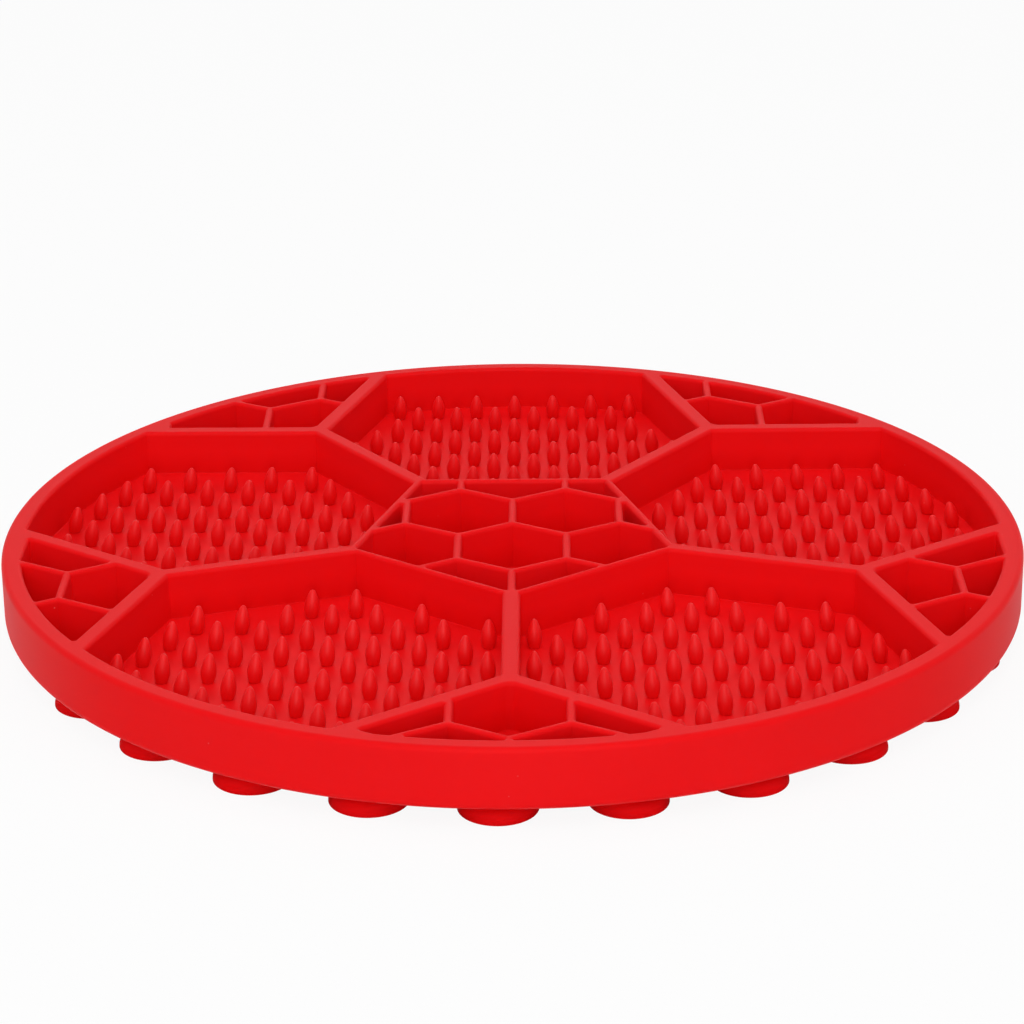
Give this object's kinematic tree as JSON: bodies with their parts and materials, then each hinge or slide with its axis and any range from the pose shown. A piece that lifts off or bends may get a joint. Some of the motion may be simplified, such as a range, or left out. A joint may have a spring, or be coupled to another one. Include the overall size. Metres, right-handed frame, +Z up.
{
  "type": "lick mat",
  "caption": "Round silicone lick mat with a raised rim, pockets of short licking nubs, honeycomb cells and a ring of suction cups under its edge.",
  "frame": {"origin": "centre of the circle of the mat, in the plane of the suction cups' lips, on which it rests", "axes": "+Z up, out of the pockets; -Y towards the front of the mat, where one spoke points; +X to the right seen from the front"},
  "size_m": [0.2004, 0.2004, 0.0158],
  "materials": {
    "red_silicone": "matte moulded silicone rubber"
  },
  "bodies": {
    "mat": {"base_disc": "red_silicone", "outer_rim": "red_silicone", "centre_pentagon": "red_silicone", "centre_honeycomb": "red_silicone", "spoke_1": "red_silicone", "spoke_2": "red_silicone", "spoke_3": "red_silicone", "spoke_4": "red_silicone", "spoke_5": "red_silicone", "left_divider_1": "red_silicone", "left_divider_2": "red_silicone", "left_divider_3": "red_silicone", "left_divider_4": "red_silicone", "left_divider_5": "red_silicone", "right_divider_1": "red_silicone", "right_divider_2": "red_silicone", "right_divider_3": "red_silicone", "right_divider_4": "red_silicone", "right_divider_5": "red_silicone", "rim_honeycomb_1": "red_silicone", "rim_honeycomb_2": "red_silicone", "rim_honeycomb_3": "red_silicone", "rim_honeycomb_4": "red_silicone", "rim_honeycomb_5": "red_silicone", "nub_field_1": "red_silicone", "nub_field_2": "red_silicone", "nub_field_3": "red_silicone", "nub_field_4": "red_silicone", "nub_field_5": "red_silicone"},
    "cup_01": {"suction_cup_01": "red_silicone"},
    "cup_02": {"suction_cup_02": "red_silicone"},
    "cup_03": {"suction_cup_03": "red_silicone"},
    "cup_04": {"suction_cup_04": "red_silicone"},
    "cup_05": {"suction_cup_05": "red_silicone"},
    "cup_06": {"suction_cup_06": "red_silicone"},
    "cup_07": {"suction_cup_07": "red_silicone"},
    "cup_08": {"suction_cup_08": "red_silicone"},
    "cup_09": {"suction_cup_09": "red_silicone"},
    "cup_10": {"suction_cup_10": "red_silicone"},
    "cup_11": {"suction_cup_11": "red_silicone"},
    "cup_12": {"suction_cup_12": "red_silicone"},
    "cup_13": {"suction_cup_13": "red_silicone"},
    "cup_14": {"suction_cup_14": "red_silicone"},
    "cup_15": {"suction_cup_15": "red_silicone"},
    "cup_16": {"suction_cup_16": "red_silicone"},
    "cup_17": {"suction_cup_17": "red_silicone"},
    "cup_18": {"suction_cup_18": "red_silicone"},
    "cup_19": {"suction_cup_19": "red_silicone"},
    "cup_20": {"suction_cup_20": "red_silicone"},
    "cup_21": {"suction_cup_21": "red_silicone"},
    "cup_22": {"suction_cup_22": "red_silicone"},
    "cup_23": {"suction_cup_23": "red_silicone"},
    "cup_24": {"suction_cup_24": "red_silicone"},
    "cup_25": {"suction_cup_25": "red_silicone"}
  },
  "joints": [
    {"name": "cup_01_press", "type": "slide", "parent": "mat", "child": "cup_01", "axis": [0, 0, 1], "range_m": [0, 0.0015], "stiffness_N_per_m": 1500, "deforming": ["suction_cup_01"]},
    {"name": "cup_02_press", "type": "slide", "parent": "mat", "child": "cup_02", "axis": [0, 0, 1], "range_m": [0, 0.0015], "stiffness_N_per_m": 1500, "deforming": ["suction_cup_02"]},
    {"name": "cup_03_press", "type": "slide", "parent": "mat", "child": "cup_03", "axis": [0, 0, 1], "range_m": [0, 0.0015], "stiffness_N_per_m": 1500, "deforming": ["suction_cup_03"]},
    {"name": "cup_04_press", "type": "slide", "parent": "mat", "child": "cup_04", "axis": [0, 0, 1], "range_m": [0, 0.0015], "stiffness_N_per_m": 1500, "deforming": ["suction_cup_04"]},
    {"name": "cup_05_press", "type": "slide", "parent": "mat", "child": "cup_05", "axis": [0, 0, 1], "range_m": [0, 0.0015], "stiffness_N_per_m": 1500, "deforming": ["suction_cup_05"]},
    {"name": "cup_06_press", "type": "slide", "parent": "mat", "child": "cup_06", "axis": [0, 0, 1], "range_m": [0, 0.0015], "stiffness_N_per_m": 1500, "deforming": ["suction_cup_06"]},
    {"name": "cup_07_press", "type": "slide", "parent": "mat", "child": "cup_07", "axis": [0, 0, 1], "range_m": [0, 0.0015], "stiffness_N_per_m": 1500, "deforming": ["suction_cup_07"]},
    {"name": "cup_08_press", "type": "slide", "parent": "mat", "child": "cup_08", "axis": [0, 0, 1], "range_m": [0, 0.0015], "stiffness_N_per_m": 1500, "deforming": ["suction_cup_08"]},
    {"name": "cup_09_press", "type": "slide", "parent": "mat", "child": "cup_09", "axis": [0, 0, 1], "range_m": [0, 0.0015], "stiffness_N_per_m": 1500, "deforming": ["suction_cup_09"]},
    {"name": "cup_10_press", "type": "slide", "parent": "mat", "child": "cup_10", "axis": [0, 0, 1], "range_m": [0, 0.0015], "stiffness_N_per_m": 1500, "deforming": ["suction_cup_10"]},
    {"name": "cup_11_press", "type": "slide", "parent": "mat", "child": "cup_11", "axis": [0, 0, 1], "range_m": [0, 0.0015], "stiffness_N_per_m": 1500, "deforming": ["suction_cup_11"]},
    {"name": "cup_12_press", "type": "slide", "parent": "mat", "child": "cup_12", "axis": [0, 0, 1], "range_m": [0, 0.0015], "stiffness_N_per_m": 1500, "deforming": ["suction_cup_12"]},
    {"name": "cup_13_press", "type": "slide", "parent": "mat", "child": "cup_13", "axis": [0, 0, 1], "range_m": [0, 0.0015], "stiffness_N_per_m": 1500, "deforming": ["suction_cup_13"]},
    {"name": "cup_14_press", "type": "slide", "parent": "mat", "child": "cup_14", "axis": [0, 0, 1], "range_m": [0, 0.0015], "stiffness_N_per_m": 1500, "deforming": ["suction_cup_14"]},
    {"name": "cup_15_press", "type": "slide", "parent": "mat", "child": "cup_15", "axis": [0, 0, 1], "range_m": [0, 0.0015], "stiffness_N_per_m": 1500, "deforming": ["suction_cup_15"]},
    {"name": "cup_16_press", "type": "slide", "parent": "mat", "child": "cup_16", "axis": [0, 0, 1], "range_m": [0, 0.0015], "stiffness_N_per_m": 1500, "deforming": ["suction_cup_16"]},
    {"name": "cup_17_press", "type": "slide", "parent": "mat", "child": "cup_17", "axis": [0, 0, 1], "range_m": [0, 0.0015], "stiffness_N_per_m": 1500, "deforming": ["suction_cup_17"]},
    {"name": "cup_18_press", "type": "slide", "parent": "mat", "child": "cup_18", "axis": [0, 0, 1], "range_m": [0, 0.0015], "stiffness_N_per_m": 1500, "deforming": ["suction_cup_18"]},
    {"name": "cup_19_press", "type": "slide", "parent": "mat", "child": "cup_19", "axis": [0, 0, 1], "range_m": [0, 0.0015], "stiffness_N_per_m": 1500, "deforming": ["suction_cup_19"]},
    {"name": "cup_20_press", "type": "slide", "parent": "mat", "child": "cup_20", "axis": [0, 0, 1], "range_m": [0, 0.0015], "stiffness_N_per_m": 1500, "deforming": ["suction_cup_20"]},
    {"name": "cup_21_press", "type": "slide", "parent": "mat", "child": "cup_21", "axis": [0, 0, 1], "range_m": [0, 0.0015], "stiffness_N_per_m": 1500, "deforming": ["suction_cup_21"]},
    {"name": "cup_22_press", "type": "slide", "parent": "mat", "child": "cup_22", "axis": [0, 0, 1], "range_m": [0, 0.0015], "stiffness_N_per_m": 1500, "deforming": ["suction_cup_22"]},
    {"name": "cup_23_press", "type": "slide", "parent": "mat", "child": "cup_23", "axis": [0, 0, 1], "range_m": [0, 0.0015], "stiffness_N_per_m": 1500, "deforming": ["suction_cup_23"]},
    {"name": "cup_24_press", "type": "slide", "parent": "mat", "child": "cup_24", "axis": [0, 0, 1], "range_m": [0, 0.0015], "stiffness_N_per_m": 1500, "deforming": ["suction_cup_24"]},
    {"name": "cup_25_press", "type": "slide", "parent": "mat", "child": "cup_25", "axis": [0, 0, 1], "range_m": [0, 0.0015], "stiffness_N_per_m": 1500, "deforming": ["suction_cup_25"]}
  ]
}
